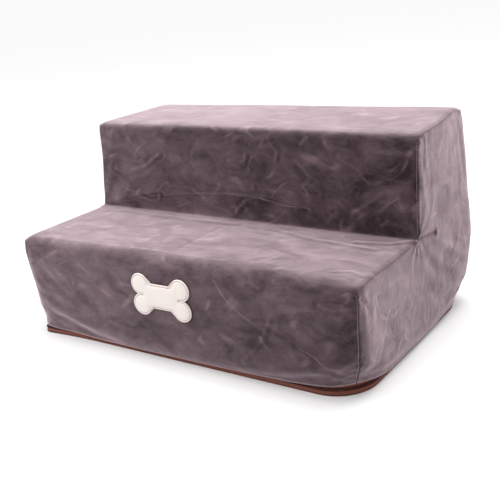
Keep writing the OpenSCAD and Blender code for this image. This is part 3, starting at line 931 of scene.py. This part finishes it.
# Nylon, moulded smooth and dyed dark brown, with a soft shine.
material, shader, tree = new_material("dyed_nylon_coil")
where = add_node(tree, "ShaderNodeTexCoord").outputs["Object"]
dye = add_node(tree, "ShaderNodeTexNoise", Vector=where, Scale=400.0, Detail=2.0)
shade = add_node(
    tree, "ShaderNodeMix", {"data_type": "RGBA"},
    n0=dye.outputs[0], n6=hex_colour("#2c100c"), n7=hex_colour("#4a1f17"),
)
tree.links.new(shade.outputs[2], shader.inputs["Base Color"])
shader.inputs["Roughness"].default_value = 0.35
for label, foot, sign in (
    ("upper", zip_middle + tape_gap, 1),
    ("lower", zip_middle - tape_gap, -1),
):
    place = (
        centre[:, None]
        + ahead[:, None] * along_loop[None, :, None]
        + out[:, None] * out_loop[None, :, None]
        + np.array([0, 0, 1.0]) * (foot + sign * up_loop)[None, :, None]
    )
    loops = tube_faces(7, 5, len(centre), sign)
    piece = new_piece("zip_coil_loops_" + label, foot_lean(place.reshape(-1, 3)), loops)
    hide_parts("zip_coil_" + label)
    piece.data.materials.append(material)

# ---- zip stops, slider and pull tab ----
# Die-cast zinc, tumbled and enamelled brown, with the enamel rubbed thin in small patches.
material, shader, tree = new_material("enamelled_zinc")
where = add_node(tree, "ShaderNodeTexCoord").outputs["Object"]
patch = add_node(tree, "ShaderNodeTexNoise", Vector=where, Scale=260.0, Detail=4.0)
wear = add_node(
    tree, "ShaderNodeMapRange", n0=patch.outputs[0], n1=0.55, n2=0.7, n3=0.0, n4=0.35
)
shade = add_node(
    tree, "ShaderNodeMix", {"data_type": "RGBA"},
    n0=wear.outputs[0], n6=hex_colour("#4b251c"), n7=hex_colour("#a38a78"),
)
tree.links.new(shade.outputs[2], shader.inputs["Base Color"])
bumps = add_node(tree, "ShaderNodeBump", Height=patch.outputs[0], Strength=0.3, Distance=0.0001)
tree.links.new(bumps.outputs[0], shader.inputs["Normal"])
shader.inputs["Metallic"].default_value = 0.6
shader.inputs["Roughness"].default_value = 0.38
for node in ("zip_closed_stops", "zip_open_stop", "zip_slider", "zip_pull_tab"):
    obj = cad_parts[node]
    obj.data.materials.clear()
    obj.data.materials.append(material)
    weld = obj.modifiers.new("weld", "WELD")
    weld.merge_threshold = 0.00001
    bevel = obj.modifiers.new("bevel", "BEVEL")
    bevel.width, bevel.segments, bevel.limit_method = 0.0002, 2, "ANGLE"
    bevel.angle_limit = np.radians(35)

# ---- bone patch ----
# A bone of white imitation leather over wadding, on a brown felt backing that shows as a thin
# line at its edge. It is sewn to the front 2.8 mm inside its edge, which draws a groove.
bone_l, knuckle_r, knuckle_pitch, shaft_h = 0.112, 0.0185, 0.032, 0.042
felt_t, trim = 0.0008, -0.0012


def bone_distance(a, b):
    """How far (a, b) is outside the bone, less than 0 inside: the nearest of four discs and a bar,
    with the hollows between them filled a little."""
    a, b = np.abs(a), np.abs(b)
    disc = np.hypot(a - (bone_l / 2 - knuckle_r), b - knuckle_pitch / 2) - knuckle_r
    bar = np.maximum(b - shaft_h / 2, a - (bone_l / 2 - knuckle_r))
    k = 0.0025
    h = np.clip(0.5 + 0.5 * (bar - disc) / k, 0, 1)
    return bar * (1 - h) + disc * h - k * h * (1 - h)


def bone_reach(turn, offset=0.0):
    """How far the bone's edge, moved out by offset, is from its middle in each direction: the last
    crossing of the edge along a ray, found by halving."""
    reach = np.linspace(0.012, 0.075, 400)
    offset = np.broadcast_to(offset, turn.shape)
    d = bone_distance(reach * np.cos(turn)[:, None], reach * np.sin(turn)[:, None])
    d = d - offset[:, None]
    last = d.shape[1] - 1 - (d[:, ::-1] < 0).argmax(axis=1)
    low, high = reach[last], reach[np.minimum(last + 1, len(reach) - 1)]
    for _ in range(20):
        mid = (low + high) / 2
        out_side = bone_distance(mid * np.cos(turn), mid * np.sin(turn)) > offset
        low, high = np.where(out_side, low, mid), np.where(out_side, mid, high)
    return mid


turn = np.linspace(0, 2 * np.pi, 361)[:-1]


def bone_layer(name, offset, share, lift):
    """A layer of the bone: rings at shares of the way from its middle to its edge, each lifted off
    the riser by lift."""
    reach = bone_reach(turn, offset)
    a = share[:, None] * reach * np.cos(turn)
    b = share[:, None] * reach * np.sin(turn)
    p = np.stack(
        [bone_middle[0] + a, np.broadcast_to(front_y - lift(a, b), a.shape), bone_middle[1] + b],
        axis=2,
    )
    n = len(turn)
    i, j = np.meshgrid(np.arange(len(share) - 1), np.arange(n), indexing="ij")
    f = np.stack(
        [i * n + j, (i + 1) * n + j, (i + 1) * n + (j + 1) % n, i * n + (j + 1) % n], axis=2
    ).reshape(-1, 4)
    return new_piece(name, p.reshape(-1, 3), f)


shares = np.concatenate([np.linspace(0.002, 0.7, 24)[:-1], np.linspace(0.7, 1.0, 26)])


def dome(a, b):
    """Leather's height off the riser: a swell that rises from the edge, less the stitched groove."""
    d = np.maximum(trim - bone_distance(a, b), 0)
    swell = 0.0012 + 0.0016 * np.sqrt(1 - (1 - np.clip(d / 0.0014, 0, 1)) ** 2)
    swell = swell + 0.0015 * (1 - np.exp(-np.maximum(d - 0.0026, 0) / 0.004))
    return swell - 0.0011 * np.exp(-(((d - 0.0026) / 0.0006) ** 2)) + 0.0004


face = bone_layer("bone_leather_face", trim, shares, dome)
shell = face.modifiers.new("leather", "SOLIDIFY")
shell.thickness, shell.offset = 0.0012, -1.0
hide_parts("bone_face", "bone_wadding")
felt_edge = trim - 0.0004 + 0.0018 * np.exp(-(((turn - 1.45) / 0.3) ** 2))
felt = bone_layer(
    "bone_felt_backing", felt_edge, np.linspace(0.002, 1.0, 12), lambda a, b: 0.0009 + 0 * a
)
shell = felt.modifiers.new("felt", "SOLIDIFY")
shell.thickness, shell.offset = felt_t, -1.0
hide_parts("bone_felt")

closed = np.append(turn, turn[:1])
reach = bone_reach(closed, trim - 0.0026)
a, b = reach * np.cos(closed), reach * np.sin(closed)
path = np.column_stack([bone_middle[0] + a, front_y - dome(a, b), bone_middle[1] + b])
up = np.tile([0.0, -1.0, 0.0], (len(path), 1))
thread = stitches("bone_stitches", path, up, 0.0024, 0.0032, 0.0009, 0.00036)
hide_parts("bone_stitching")

# Polyurethane leather, embossed: off-white with a fine pebble of about 0.8 mm and a soft shine.
material, shader, tree = new_material("white_imitation_leather")
where = add_node(tree, "ShaderNodeTexCoord").outputs["Object"]
grain = add_node(tree, "ShaderNodeTexVoronoi", Vector=where, Scale=1 / 0.0011)
stain = add_node(tree, "ShaderNodeTexNoise", Vector=where, Scale=40.0, Detail=3.0)
shade = add_node(
    tree, "ShaderNodeMix", {"data_type": "RGBA"},
    n0=stain.outputs[0], n6=hex_colour("#f3e6df"), n7=hex_colour("#fbf3ee"),
)
tree.links.new(shade.outputs[2], shader.inputs["Base Color"])
bumps = add_node(
    tree, "ShaderNodeBump", Height=grain.outputs["Distance"], Strength=0.35, Distance=0.0002
)
tree.links.new(bumps.outputs[0], shader.inputs["Normal"])
shader.inputs["Roughness"].default_value = 0.5
face.data.materials.append(material)

# Reddish brown felt, matt and hairy.
material, shader, tree = new_material("brown_felt")
where = add_node(tree, "ShaderNodeTexCoord").outputs["Object"]
hairs = add_node(tree, "ShaderNodeTexNoise", Vector=where, Scale=900.0, Detail=4.0)
shade = add_node(
    tree, "ShaderNodeMix", {"data_type": "RGBA"},
    n0=hairs.outputs[0], n6=hex_colour("#4a211a"), n7=hex_colour("#7c4236"),
)
tree.links.new(shade.outputs[2], shader.inputs["Base Color"])
shader.inputs["Roughness"].default_value = 0.95
felt.data.materials.append(material)

thread.data.materials.append(thread_material("polyester_thread_pale", "#6d5a50", "#988679"))
